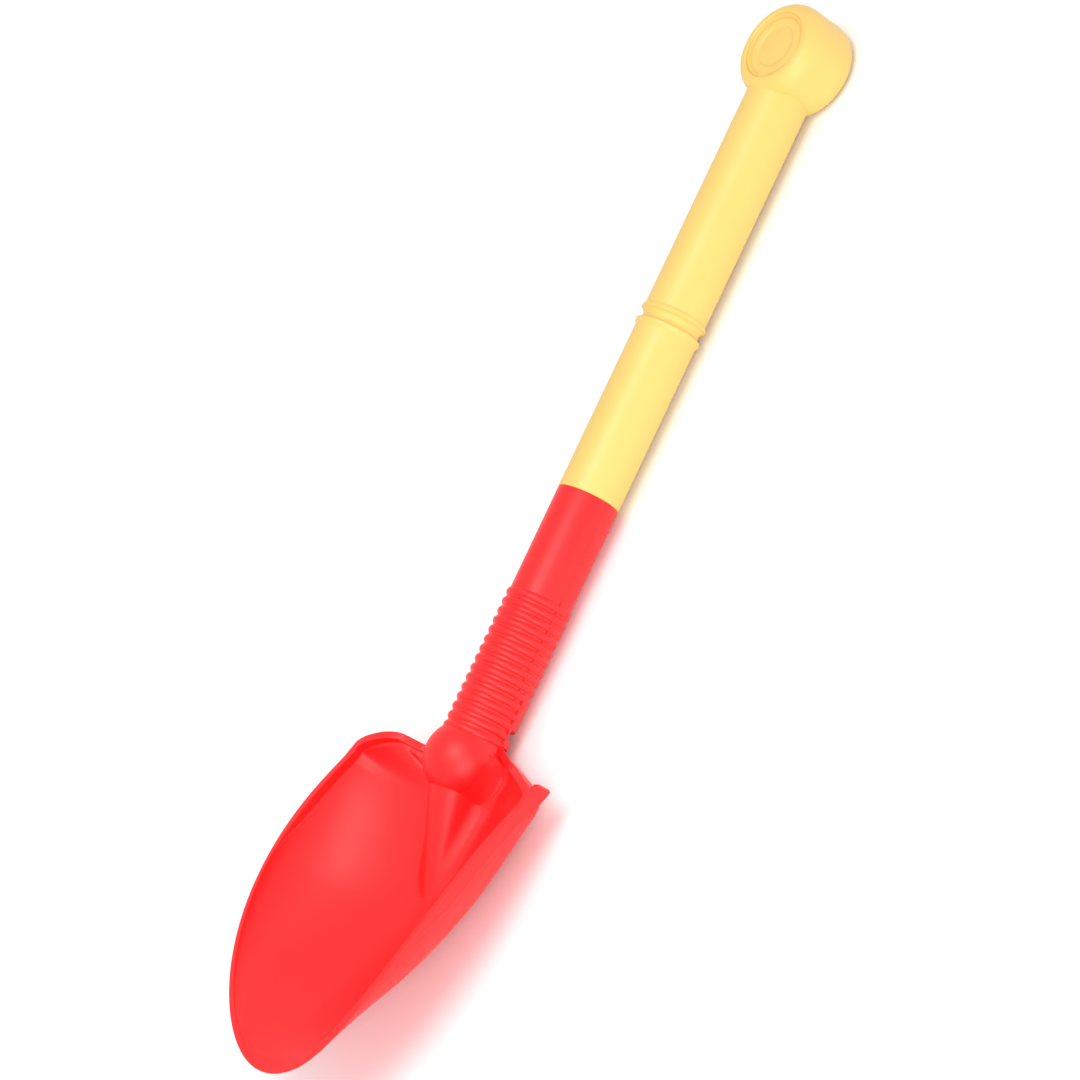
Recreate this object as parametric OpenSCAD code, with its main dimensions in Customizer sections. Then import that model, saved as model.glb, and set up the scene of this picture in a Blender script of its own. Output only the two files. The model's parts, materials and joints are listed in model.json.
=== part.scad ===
// A child's long-handled sand shovel: a red moulded scoop with its ribbed socket,
// and a yellow hollow handle with a drum-shaped knob, which plugs into the socket.
// The shovel lies on its back: the tube runs along Y, the scoop opens upwards,
// and the keel of the scoop and the back face of the knob touch the ground at Z = 0.
// Stations are distances from the joint line between red and yellow, scoop side
// and knob side, and heights are measured from the axis of the tube.

/* [Tube] */
// Distance from the ground to the axis of the tube
axis_h = 15; // [15:0.1:18]
// Radius of the red socket tube
socket_r = 13.85; // [13:0.05:14.5]
// Radius of the yellow handle tube
tube_r = 14; // [13:0.05:14.5]

/* [Scoop outline] */
// Distance from the joint line to where the scoop's shoulders leave the tube
neck_y = 112.3; // [110:0.1:115]
// Distance from the joint line to the tip of the scoop
tip_y = 280.2; // [260:0.1:300]
// Half of the scoop's greatest width, over the rim
rim_half_w = 63.4; // [55:0.1:72]
// Distance from the joint line to the inside of the scoop's back wall
back_y = 121; // [120:0.1:122.5]
// Distance from the joint line to the square rear end of the side lips
lip_rear_y = 127.4; // [126:0.1:130]
// Distance from the joint line to the front end of the rear corner
corner_y = 139; // [136:0.1:145]
// Distance from the joint line to where the sides start to curve to the tip
side_y = 155; // [148:0.1:165]

/* [Rim height] */
// Depth under the tube's axis of the web between the tube and the back wall
web_drop = 3; // [2:0.1:4]
// Height of the side lips at their square rear end
lip_rear_h = 8.2; // [7:0.1:9.5]
// Height of the rim at the front end of the rear corner
rim_corner_h = 11.5; // [9:0.1:14]
// Height of the rim at the tip
rim_tip_h = 25.5; // [22:0.1:28]
// Rise of the rim per unit of length where the side begins
rim_start_rise_share = 0.41; // [0.3:0.01:0.5]
// Fall of the rim per unit of length at the tip
rim_end_fall_share = 0.2; // [0.1:0.01:0.3]

/* [Floor] */
// Distance from the joint line to where the keel starts to rise
keel_flat_y = 172; // [165:0.5:182]
// Rise of the keel per unit of length at the tip
keel_end_rise_share = 0.3; // [0.1:0.01:0.5]
// Wall thickness of the scoop
scoop_wall = 2.4; // [1.8:0.1:3]
// Width of the flat edge at the tip, where the rising floor is cut level
tip_edge = 4.6; // [3.5:0.1:6]

/* [Lip] */
// How far the lip is stepped outwards from the scoop's wall
lip_step = 1.5; // [0.8:0.1:2]
// Height of the lip on the outside
lip_out_h = 6; // [4:0.1:7]
// Height of the lip on the inside
lip_in_h = 4; // [3:0.1:5]
// Thickness of the lip
lip_wall = 1.9; // [1.5:0.1:2.4]
// Height of the narrow bead that the lip runs out into
edge_bead_h = 1; // [0.6:0.1:1.5]
// Step of that narrow bead
edge_bead_step = 0.35; // [0.2:0.05:0.6]
// Distance from the joint line to where the outer lip starts to run out
lip_out_start_y = 188; // [180:1:195]
// Distance from the joint line to where the outer lip has run out
lip_out_end_y = 216; // [205:1:225]
// Distance from the joint line to where the inner step starts to run out
lip_in_start_y = 162; // [158:1:170]
// Distance from the joint line to where the inner step has run out
lip_in_end_y = 189; // [182:1:195]

/* [Throat] */
// Radius of the ball between the socket and the scoop
ball_r = 17.6; // [16:0.1:19]
// Distance from the joint line to the centre of the ball
ball_y = 124.3; // [122:0.1:127]
// Radius of the tapered ridge at the centre of the ball
ridge_root_r = 12.1; // [10:0.1:13]
// Radius of the ridge at its end
ridge_end_r = 5.4; // [4.5:0.1:6.5]
// Height of the ridge's axis at the centre of the ball
ridge_root_h = 4.2; // [3:0.1:5]
// Depth of the ridge's axis under the tube's axis at its end
ridge_end_drop = 18; // [16.5:0.1:19]
// Distance from the joint line to the end of the ridge
ridge_end_y = 179; // [174:0.5:184]

/* [Socket] */
// Radius of the socket's bore
bore_r = 11.5; // [11:0.05:12]
// Depth of the socket's bore
bore_depth = 98.9; // [92:0.1:99]
// Thickness of the wall that closes the bore, up to the cross slot's side
bore_end_wall = 3; // [2:0.1:3.5]
// Rounding of the socket's mouth
mouth_round = 0.4; // [0.2:0.05:0.8]
// Number of grip ribs round the socket
rib_count = 15; // [8:1:16]
// Number of ribs that run all the way round
full_rib_count = 10; // [6:1:14]
// Distance from the joint line to the first rib
first_rib_y = 50.3; // [48:0.1:52]
// Distance from rib to rib
rib_pitch = 4.487; // [3.8:0.001:4.487]
// Radius over the ribs
rib_crest_r = 14.77; // [14.4:0.01:14.9]
// Radius of a rib's rounded crest
rib_round_r = 2.1; // [1.6:0.05:2.4]
// Radius of the smooth band on the back of the socket
band_r = 14.6; // [14.2:0.05:14.8]
// Depth under the tube's axis at which the band starts
band_drop = 4.1; // [3:0.1:6]
// Distance from the joint line to where the band starts
band_y = 87; // [84:0.5:90]
// Radius of the cross slot's round bottom
slot_r = 2.5; // [2:0.1:3]
// Distance from the joint line to the cross slot
slot_y = 107; // [106:0.1:108]
// Depth under the tube's axis of the cross slot's round bottom
slot_drop = 7.7; // [6.5:0.1:9]

/* [Handle] */
// Distance from the joint line to the centre of the knob
knob_y = 212.7; // [190:0.1:230]
// Wall thickness of the hollow handle
handle_wall = 2; // [1.5:0.1:2.4]
// Gap round the spigot in the socket
spigot_gap = 0.25; // [0.15:0.05:0.3]
// Length of the spigot inside the socket
spigot_l = 55; // [40:0.5:70]
// Distance from the joint line to the snap ring on the spigot
snap_y = 40; // [32:0.5:44]
// How far the snap ring stands out of the spigot
snap_h = 0.6; // [0.4:0.05:0.7]
// Radius of the snap ring's rounded crest
snap_round_r = 1.2; // [0.9:0.1:1.5]
// Width of the key on the spigot
key_w = 4; // [3:0.1:5]
// Length of the key from the joint line
key_l = 14; // [10:0.5:18]
// How far the key stands out of the spigot
key_h = 1.1; // [0.8:0.05:1.2]
// Distance from the joint line to the middle between the two bead rings
beads_y = 83.3; // [70:0.1:95]
// Distance from bead ring to bead ring
bead_pitch = 5.8; // [5:0.1:7]
// Radius over the bead rings
bead_crest_r = 14.87; // [14.5:0.01:14.95]
// Radius of a bead's rounded crest
bead_round_r = 3.4; // [3:0.1:4]
// Radius at the bottom of the groove between the bead rings
bead_groove_r = 13; // [12.6:0.05:13.4]

/* [Knob] */
// Radius of the knob's drum
knob_r = 22.7; // [20:0.1:25]
// Half length of the drum's straight side
knob_side_half = 6.8; // [5:0.1:8]
// Radius at which the knob's flat land ends and its rounding starts
knob_land_r = 16.6; // [16.3:0.1:18]
// Radius of the round recess in each face
recess_r = 15.6; // [14:0.1:16]
// Depth of the recess
recess_d = 1.6; // [1:0.1:2]
// Middle radius of the raised ring in the recess
ring_r = 11.6; // [10.5:0.1:12.5]
// Radius of the raised ring's rounded crest
ring_round_r = 1.5; // [1.2:0.1:1.8]
// How far the raised ring stands out of the recess
ring_h = 0.9; // [0.5:0.05:1]
// Radius of the domed button in the middle of the recess
button_r = 8; // [6:0.1:9]
// How far the domed button stands out of the recess
button_h = 0.8; // [0.4:0.05:1]

/* [Hidden] */
// Overrun of every cut past the face that it opens
cut = 0.5;
// Facets of the round forms, and of those that blend into the scoop
fine_fn = 96;
mesh_fn = 44;
// Station at which the socket's open part meets the scoop's closed throat
split_y = bore_depth + bore_end_wall;
// How much the throat is drawn in from the socket there
throat_inset = 0.05;
// Shape of the scoop's cross-section: 2 is an ellipse, less is more pointed
section_power_share = 1.9;
// Stations along the rim's straight side and its front
side_steps = 2;
front_steps = 15;
// Angle at which the front ends, short of its pole
front_end_deg = 85.6;
// Points down each half of a section, from the lip to the keel
half_steps = 9;
// Part of the drop between lip and wall that slopes
lip_blend = 0.8;
// A section's lip takes at most this share of its depth
lip_depth_share = 0.22;
// Least depth of a section on the inside, where the floor meets the rim
least_depth = 0.3;
// Rear edge of the rim: the straight web, the rise to the back wall, the arch and the corner,
// as shares of the way out, forwards and up from the tube to the front end of the corner
rear_shares = [
    [0, 0, 0], [0.125, 0.105, 0], [0.245, 0.21, 0], [0.36, 0.3, 0.06],
    [0.43, 0.318, 0.36], [0.485, 0.324, 0.62], [0.55, 0.337, 0.76], [0.67, 0.408, 0.917],
    [0.835, 0.532, 0.986], [0.95, 0.64, 0.96], [0.992, 0.757, 0.91]];
// Radius of the spigot
spigot_r = bore_r - spigot_gap;
// Depth under the tube's axis of the middle of the scoop's floor wall
floor_mid_drop = axis_h - scoop_wall / 2;
// Radius of the hollow rounding from the web down to the scoop's floor
fill_r = axis_h - scoop_wall - web_drop;
// Height of the knob's rounding
knob_round_h = axis_h - knob_side_half;

// Height on a cubic between two heights with a rise at each end, over a length
function ease(h0, h1, rise0, rise1, run, t) =
    (2 * pow(t, 3) - 3 * t * t + 1) * h0 + (pow(t, 3) - 2 * t * t + t) * rise0 * run
    + (3 * t * t - 2 * pow(t, 3)) * h1 + (pow(t, 3) - t * t) * rise1 * run;
// Share of the way from a to b, held between 0 and 1 and softened at both ends
function soft(a, b, v) = let (t = max(0, min(1, (v - a) / (b - a)))) t * t * (3 - 2 * t);

// Height of the rim at station y along the side and the front
function side_h(y) = ease(rim_corner_h, rim_tip_h, rim_start_rise_share, -rim_end_fall_share,
    tip_y - corner_y, (y - corner_y) / (tip_y - corner_y));
// Height of the keel's outside at station y, and its rise per unit of length
function keel_h(y) = y < keel_flat_y ? -axis_h : ease(-axis_h, rim_tip_h, 0, keel_end_rise_share,
    tip_y - keel_flat_y, min(1, (y - keel_flat_y) / (tip_y - keel_flat_y)));
function keel_rise(y) = (keel_h(y + cut) - keel_h(y - cut)) / (2 * cut);
// Height that the rounding in front of the back wall adds to the floor at station y
function fill_h(y) =
    let (t = max(0, min(1, (y - back_y) / fill_r))) fill_r * (1 - sqrt(1 - (1 - t) * (1 - t)));

// Outer edge of the rim from the tube to the tip, as half width, station and height;
// it starts inside the tube, so that the two forms meet in one clear line
rim_start = [socket_r - cut * 2, neck_y, -web_drop];
rim_corner = [rim_half_w, corner_y, rim_corner_h];
rim = [
    for (s = rear_shares) [for (k = [0 : 2]) rim_start[k] + (rim_corner[k] - rim_start[k]) * s[k]],
    for (i = [0 : side_steps - 1]) let (y = corner_y + (side_y - corner_y) * i / side_steps)
        [rim_half_w, y, side_h(y)],
    for (i = [0 : front_steps])
        let (a = front_end_deg * i / front_steps, y = side_y + (tip_y - side_y) * sin(a))
        [rim_half_w * cos(a), y, side_h(y)]];
last = len(rim) - 1;
// Middle of the shovel along the tube, which is the origin
mid_y = (knob_y + knob_r - rim[last][1]) / 2;

// Unit vector across the rim at station i, pointing out of the scoop
function across(i) =
    let (d = rim[min(last, i + 1)] - rim[max(0, i - 1)], l = norm([d[0], d[1]])) [d[1], -d[0]] / l;
// Width of the rim's level edge at station i
function edge_w(i) = let (y = rim[i][1])
    scoop_wall + (tip_edge - scoop_wall) * pow(max(0, (y - side_y) / (tip_y - side_y)), 3);

// One half of the outer section at station i, from the rim to the keel
function outer_half(i) = let (
        w = rim[i][0], y = rim[i][1], u = rim[i][2], h = u - keel_h(y),
        run_out = soft(lip_out_start_y, lip_out_end_y, y),
        lip = min(lip_out_h + (edge_bead_h - lip_out_h) * run_out, h * lip_depth_share),
        step = min(lip_step + (edge_bead_step - lip_step) * run_out, w * lip_depth_share),
        start = asin(min(lip + lip_blend * lip / lip_out_h, h / 2) / h))
    [[w, y, u], [w, y, u - lip],
     for (k = [0 : half_steps]) let (a = start + (90 - start) * k / half_steps)
        [(w - step) * pow(cos(a), 2 / section_power_share), y, u - h * pow(sin(a), 2 / section_power_share)]];
// One half of the inner section at station i
function inner_half(i) = let (
        n = across(i), e = edge_w(i), w = max(rim[i][0] - n[0] * e, edge_bead_step), y = rim[i][1] - n[1] * e,
        u = rim[i][2],
        floor_h = min(keel_h(y) + scoop_wall * norm([1, keel_rise(y)]) + fill_h(y), u - least_depth),
        h = u - floor_h,
        stay = 1 - soft(lip_in_start_y, lip_in_end_y, y),
        lip = min(lip_in_h, h * lip_depth_share), step = lip_step * stay,
        out = (scoop_wall - lip_wall) * stay,
        start = asin(min(lip + lip_blend * lip / lip_in_h, h / 2) / h))
    [[w + out, y, u], [w + out - lip_blend * (1 - stay) * lip / lip_in_h, y, u - lip],
     for (k = [0 : half_steps]) let (a = start + (90 - start) * k / half_steps)
        [(w - step) * pow(cos(a), 2 / section_power_share), y, u - h * pow(sin(a), 2 / section_power_share)]];

// A whole section from the left rim over the keel to the right rim
function whole(half) = let (m = len(half) - 1) [
    for (k = [0 : m - 1]) [-half[k][0], -half[k][1], half[k][2]],
    [0, -half[m][1], half[m][2]],
    for (k = [m - 1 : -1 : 0]) [half[k][0], -half[k][1], half[k][2]]];

// Places a form given from the axis and the joint line into the shovel's frame
module in_place() {
    translate([0, -mid_y, axis_h]) children();
}

// Turns a form that stands along Z so that it runs along the tube
module along_tube() {
    rotate([-90, 0, 0]) children();
}

// The scoop's shell: floor, walls, rear edge and stepped lip
module scoop_shell() {
    outer = [for (i = [0 : last]) whole(outer_half(i))];
    inner = [for (i = [0 : last]) whole(inner_half(i))];
    m = len(outer[0]);
    half = (last + 1) * m;
    points = [for (s = outer) each s, for (s = inner) each s];
    function skin(i, j, base) = base + i * m + j;
    faces = [
        for (i = [0 : last - 1], j = [0 : m - 2]) each [
            [skin(i, j, 0), skin(i + 1, j, 0), skin(i + 1, j + 1, 0)],
            [skin(i, j, 0), skin(i + 1, j + 1, 0), skin(i, j + 1, 0)],
            [skin(i, j, half), skin(i + 1, j + 1, half), skin(i + 1, j, half)],
            [skin(i, j, half), skin(i, j + 1, half), skin(i + 1, j + 1, half)]],
        for (i = [0 : last - 1]) each [
            [skin(i, 0, 0), skin(i + 1, 0, half), skin(i + 1, 0, 0)],
            [skin(i, 0, 0), skin(i, 0, half), skin(i + 1, 0, half)],
            [skin(i, m - 1, 0), skin(i + 1, m - 1, 0), skin(i + 1, m - 1, half)],
            [skin(i, m - 1, 0), skin(i + 1, m - 1, half), skin(i, m - 1, half)]],
        for (j = [0 : m - 2]) each [
            [skin(0, j, 0), skin(0, j + 1, 0), skin(0, j + 1, half)],
            [skin(0, j, 0), skin(0, j + 1, half), skin(0, j, half)],
            [skin(last, j, 0), skin(last, j + 1, half), skin(last, j + 1, 0)],
            [skin(last, j, 0), skin(last, j, half), skin(last, j + 1, half)]]];
    polyhedron(points, faces);
}

// The rear end of a side lip, which runs straight back past the corner and ends square
module lip_end(side) {
    hull() {
        translate([side * (rim_half_w - lip_wall / 2), -lip_rear_y - cut, lip_rear_h - lip_out_h / 2])
            cube([lip_wall, cut * 2, lip_out_h], center = true);
        translate([side * (rim_half_w - lip_wall / 2), -corner_y, rim_corner_h - lip_out_h / 2])
            cube([lip_wall / 2, cut * 2, lip_out_h / 2], center = true);
    }
}

// A thin plate in the ridge's outline: round on top, straight-sided below
module ridge_plate(r, depth) {
    rotate([90, 0, 0]) linear_extrude(cut) {
        circle(r = r, $fn = mesh_fn);
        translate([-r, -depth]) square([r * 2, depth]);
    }
}

// The ridge's form, drawn in by a wall thickness: a half cone on tapering straight sides
module ridge_form(inset) {
    hull() {
        translate([0, -ball_y, ridge_root_h]) ridge_plate(ridge_root_r - inset, ridge_root_h + axis_h + cut);
        translate([0, cut - ridge_end_y, -ridge_end_drop]) ridge_plate(ridge_end_r - inset, axis_h);
    }
}

// Half profile of the socket between two stations, with its ribs on a core
module socket_profile(from, to, first_rib, end_rib, core_r, inset) {
    intersection() {
        union() {
            square_from_axis(core_r, ball_y, 0);
            for (i = [first_rib : end_rib - 1])
                translate([rib_crest_r - inset - rib_round_r, -first_rib_y - rib_pitch * i])
                    circle(r = rib_round_r, $fn = fine_fn / 4);
        }
        square_from_axis(axis_h, to, from);
    }
}

// Half profile of a plain cylinder from station b to station a
module square_from_axis(r, b, a) {
    translate([0, -b]) square([r, b - a]);
}

// A stretch of the socket: tube, ribs, and the smooth band on its back.
// Ribs past the full ones stop where the band starts.
module socket_stretch(from, to, inset, facets) {
    along_tube() rotate_extrude($fn = facets)
        socket_profile(from, to, 0, full_rib_count, socket_r - inset, inset);
    intersection() {
        along_tube() rotate_extrude($fn = facets)
            socket_profile(from, to, full_rib_count, rib_count, socket_r - rib_round_r, inset);
        translate([-axis_h, -ball_y, -band_drop]) cube([axis_h * 2, ball_y, axis_h * 2]);
    }
    intersection() {
        along_tube() rotate_extrude($fn = facets)
            square_from_axis(band_r - inset, min(neck_y + cut, to), max(band_y, from));
        translate([-axis_h, -ball_y, -band_drop - inset - axis_h * 2])
            cube([axis_h * 2, ball_y, axis_h * 2]);
    }
}

// The open part of the socket, with its bore, snap groove, keyway and rounded mouth
module socket() {
    difference() {
        socket_stretch(0, split_y, 0, fine_fn);
        translate([0, -bore_depth, 0]) along_tube() cylinder(r = bore_r, h = bore_depth + cut, $fn = fine_fn);
        translate([0, -snap_y, 0]) along_tube() rotate_extrude($fn = fine_fn)
            translate([bore_r + snap_h - snap_round_r, 0]) circle(r = snap_round_r, $fn = fine_fn / 4);
        translate([-key_w / 2 - spigot_gap, -key_l - spigot_gap, 0])
            cube([key_w + spigot_gap * 2, key_l + spigot_gap + cut, bore_r + key_h]);
        along_tube() rotate_extrude($fn = fine_fn) difference() {
            translate([socket_r - mouth_round, -mouth_round]) square(mouth_round + cut);
            translate([socket_r - mouth_round, -mouth_round]) circle(r = mouth_round, $fn = fine_fn / 4);
        }
    }
}

// The slot across the back of the socket, behind its closed end
module cross_slot() {
    translate([-axis_h - cut, -slot_y, -slot_drop]) rotate([90, 0, 90]) linear_extrude((axis_h + cut) * 2) {
        circle(r = slot_r, $fn = mesh_fn);
        translate([-slot_r, -axis_h]) square([slot_r * 2, axis_h]);
    }
}

// The scoop with the ball, the hollow ridge and the closed end of the socket
module scoop_and_throat() {
    difference() {
        union() {
            scoop_shell();
            for (side = [-1, 1]) lip_end(side);
            socket_stretch(split_y - cut, ball_y, throat_inset, mesh_fn);
            intersection() {
                union() {
                    translate([0, -ball_y, 0]) sphere(r = ball_r, $fn = mesh_fn);
                    ridge_form(0);
                }
                translate([-rim_half_w, -tip_y, -floor_mid_drop])
                    cube([rim_half_w * 2, tip_y, floor_mid_drop + ball_r + cut]);
            }
        }
        cross_slot();
        translate([0, -ball_y, 0]) rotate_extrude($fn = mesh_fn) polygon([
            [0, -axis_h - cut], [ball_r - scoop_wall, -axis_h - cut],
            for (i = [0 : mesh_fn / 4]) let (a = 360 * i / mesh_fn)
                [(ball_r - scoop_wall) * cos(a), (ball_r - scoop_wall) * sin(a)]]);
        ridge_form(scoop_wall);
    }
}

// Red moulding: scoop, ball, hollow ridge and ribbed socket in one piece
module scoop() {
    color([0.93, 0.11, 0.12]) in_place() {
        socket();
        resize([0, 0, 0]) scoop_and_throat();
    }
}

// Half profile of the knob on one side of its middle plane, drawn in by a wall thickness
function knob_profile(inset) = [
    [0, 0],
    [knob_r - inset, 0],
    for (i = [0 : 8]) let (a = 90 * i / 8)
        [knob_land_r + (knob_r - knob_land_r - inset) * cos(a),
         knob_side_half + (knob_round_h - inset) * sin(a)],
    [0, axis_h - inset]];

// One half of the solid knob with its recess, raised ring and domed button
module knob_half() {
    button_ball_r = (button_r * button_r + button_h * button_h) / (2 * button_h);
    difference() {
        rotate_extrude($fn = fine_fn) polygon(knob_profile(0));
        translate([0, 0, axis_h - recess_d]) difference() {
            cylinder(r = recess_r, h = recess_d + cut, $fn = fine_fn);
            rotate_extrude($fn = fine_fn) translate([ring_r, ring_h - ring_round_r])
                circle(r = ring_round_r, $fn = fine_fn / 3);
            translate([0, 0, button_h - button_ball_r]) sphere(r = button_ball_r, $fn = fine_fn);
        }
    }
}

// Yellow hollow moulding: spigot, tube with two bead rings, and knob
module handle() {
    hollow_end_y = knob_y - knob_r / 2;
    color([0.99, 0.86, 0.35]) in_place() difference() {
        union() {
            along_tube() rotate_extrude($fn = fine_fn) difference() {
                union() {
                    translate([0, -spigot_l]) square([spigot_r, spigot_l + cut]);
                    square([tube_r, hollow_end_y]);
                    for (s = [-1, 1])
                        translate([bead_crest_r - bead_round_r, beads_y + s * bead_pitch / 2])
                            circle(r = bead_round_r, $fn = fine_fn / 2);
                    translate([spigot_r + snap_h - snap_round_r, -snap_y])
                        circle(r = snap_round_r, $fn = fine_fn / 4);
                }
                translate([bead_groove_r + bead_pitch / 2, beads_y])
                    circle(r = bead_pitch / 2, $fn = fine_fn / 2);
            }
            translate([-key_w / 2, -key_l, 0]) cube([key_w, key_l + cut, spigot_r + key_h - spigot_gap]);
            translate([0, knob_y, 0]) {
                knob_half();
                mirror([0, 0, 1]) knob_half();
            }
        }
        translate([0, -spigot_l - cut, 0]) along_tube()
            cylinder(r = spigot_r - handle_wall, h = spigot_l + handle_wall + cut * 2, $fn = fine_fn);
        translate([0, handle_wall, 0]) along_tube()
            cylinder(r = tube_r - handle_wall, h = hollow_end_y - handle_wall, $fn = fine_fn);
        translate([0, knob_y, 0]) intersection() {
            union() {
                rotate_extrude($fn = fine_fn) polygon(knob_profile(handle_wall));
                mirror([0, 0, 1]) rotate_extrude($fn = fine_fn) polygon(knob_profile(handle_wall));
            }
            cube([knob_r * 2, knob_r * 2, (axis_h - recess_d - handle_wall) * 2], center = true);
        }
    }
}

scoop();
handle();
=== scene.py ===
"""A child's long-handled sand shovel on a pale floor: red moulded scoop, yellow hollow handle.

Shapes are worked out in millimetres in the shovel's own terms: half widths across the tube, stations
along it from the joint line between red and yellow towards the scoop's tip (negative towards the
knob), and heights above the tube's axis. Place turns them into metres in the frame.
"""

import json
import logging
import math
from dataclasses import dataclass
from enum import Enum

import bmesh
import bpy
import numpy as np
from mathutils import Matrix, Vector

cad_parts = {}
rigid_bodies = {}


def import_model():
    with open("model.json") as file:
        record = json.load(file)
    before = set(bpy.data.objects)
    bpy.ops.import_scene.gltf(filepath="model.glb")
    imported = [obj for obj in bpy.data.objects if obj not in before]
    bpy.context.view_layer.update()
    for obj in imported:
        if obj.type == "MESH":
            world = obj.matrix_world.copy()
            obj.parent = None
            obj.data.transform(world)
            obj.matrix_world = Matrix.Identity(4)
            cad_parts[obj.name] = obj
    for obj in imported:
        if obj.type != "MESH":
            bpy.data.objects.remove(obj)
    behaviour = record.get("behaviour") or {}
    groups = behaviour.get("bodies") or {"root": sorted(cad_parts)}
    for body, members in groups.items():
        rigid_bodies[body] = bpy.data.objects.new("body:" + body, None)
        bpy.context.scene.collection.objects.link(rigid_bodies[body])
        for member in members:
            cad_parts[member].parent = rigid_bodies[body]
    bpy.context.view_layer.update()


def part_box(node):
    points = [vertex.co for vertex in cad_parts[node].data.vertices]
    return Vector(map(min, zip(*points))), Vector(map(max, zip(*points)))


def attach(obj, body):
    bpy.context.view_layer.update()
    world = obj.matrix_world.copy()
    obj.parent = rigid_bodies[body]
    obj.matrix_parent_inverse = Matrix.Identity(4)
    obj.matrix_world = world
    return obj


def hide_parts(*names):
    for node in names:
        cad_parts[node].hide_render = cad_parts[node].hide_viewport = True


logging.basicConfig(level=logging.INFO, format="%(name)s: %(message)s")
LOG = logging.getLogger("sand_shovel")

MM = 0.001
ROOT_BODY = "root"
# Faces that meet at a greater angle than this keep a crisp edge
CRISP_DEG = 32.0
# How far every cut runs past the face that it opens, in millimetres
OVERRUN = 0.5
# Length under which an edge is a leftover of joining two forms, in millimetres
SLIVER = 0.003
# Share of the shorter side that the rounding of a corner may take
ROUND_SHARE = 0.45
# Power that sets the steps down a section closer together towards the middle
STEP_POWER = 1.5
Row = tuple[float, float]


class Joining(Enum):
    """How a closed form is joined to another one."""

    ADD = "UNION"
    CUT = "DIFFERENCE"


def linear(hex_value: str) -> tuple[float, float, float, float]:
    """Turns an sRGB hex value into the linear colour that shaders take.

    Args:
        hex_value: Six hex digits.

    Returns:
        Red, green, blue and an alpha of 1.
    """
    parts = [int(hex_value[k : k + 2], 16) / 255 for k in (0, 2, 4)]
    r, g, b = (c / 12.92 if c <= 0.04045 else ((c + 0.055) / 1.055) ** 2.4 for c in parts)
    return (r, g, b, 1.0)


def add_node(tree: bpy.types.NodeTree, kind: str, settings: dict, inputs: dict) -> bpy.types.Node:
    """Adds a node with its settings, its values and its links.

    Args:
        tree: The tree that gets the node.
        kind: The node's type.
        settings: The node's own properties by name.
        inputs: Values, or sockets to link from, by the input's name or number.

    Returns:
        The new node.
    """
    node = tree.nodes.new(kind)
    for name, value in settings.items():
        setattr(node, name, value)
    for key, value in inputs.items():
        if isinstance(value, bpy.types.NodeSocket):
            tree.links.new(value, node.inputs[key])
        else:
            node.inputs[key].default_value = value
    return node


def soft(a: float, b: float, v: np.ndarray) -> np.ndarray:
    """Share from 0 to 1 over a stretch, flat at both ends.

    Args:
        a: Where the stretch starts.
        b: Where it ends.
        v: The values to turn into shares.

    Returns:
        The share of each value.
    """
    t = np.clip((v - a) / (b - a), 0.0, 1.0)
    return t * t * (3 - 2 * t)


def ease(h0: float, h1: float, rise0: float, rise1: float, run: float, t: np.ndarray) -> np.ndarray:
    """Height on a cubic between two heights, with a rise at each end.

    Args:
        h0: Height at the start.
        h1: Height at the end.
        rise0: Rise per unit of length at the start.
        rise1: Rise per unit of length at the end.
        run: Length between the two.
        t: Shares of the way.

    Returns:
        The height at each share.
    """
    t2, t3 = t * t, t * t * t
    ends = (2 * t3 - 3 * t2 + 1) * h0 + (3 * t2 - 2 * t3) * h1
    return ends + (t3 - 2 * t2 + t) * rise0 * run + (t3 - t2) * rise1 * run


def hollow_round(gap: np.ndarray, radius: np.ndarray | float) -> np.ndarray:
    """Height that a hollow rounding adds next to the wall that it leads up to.

    Args:
        gap: Distance from that wall.
        radius: Radius of the rounding.

    Returns:
        The added height at each gap.
    """
    t = np.clip(gap / radius, 0.0, 1.0)
    return radius * (1 - np.sqrt(1 - (1 - t) ** 2))


def through(points: np.ndarray, steps: int) -> np.ndarray:
    """A smooth curve that passes through each of the points.

    Args:
        points: The points, one a row.
        steps: Steps from one point to the next.

    Returns:
        The points along the curve, without the last one.
    """
    padded = np.vstack([2 * points[0] - points[1], points, 2 * points[-1] - points[-2]])
    t = np.linspace(0.0, 1.0, steps, endpoint=False)[:, None]
    out = []
    for k in range(len(points) - 1):
        a, b, c, d = padded[k : k + 4]
        bend = (2 * a - 5 * b + 4 * c - d) * t**2 + (3 * b - a - 3 * c + d) * t**3
        out.append((2 * b + (c - a) * t + bend) / 2)
    return np.vstack(out)


def rounded(corners: list[np.ndarray], radii: list[float], steps: int) -> list[np.ndarray]:
    """Rounds the inner corners of a row of corner points, for many sections at once.

    Args:
        corners: For each corner, its points in all the sections, one a row.
        radii: How far from its corner each rounding starts, nought for a crisp one.
        steps: Points along each rounding.

    Returns:
        The rounded row, in the same form.
    """
    out = [corners[0]]
    for k in range(1, len(corners) - 1):
        before, here, after = corners[k - 1 : k + 2]
        if radii[k] == 0:
            out.append(here)
            continue
        back, on = before - here, after - here
        back_l = np.linalg.norm(back, axis=1, keepdims=True) + OVERRUN * MM
        on_l = np.linalg.norm(on, axis=1, keepdims=True) + OVERRUN * MM
        reach = np.minimum(radii[k], ROUND_SHARE * np.minimum(back_l, on_l))
        start, end = here + back / back_l * reach, here + on / on_l * reach
        for t in np.linspace(0.0, 1.0, steps):
            out.append((1 - t) ** 2 * start + 2 * t * (1 - t) * here + t * t * end)
    out.append(corners[-1])
    return out


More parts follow.
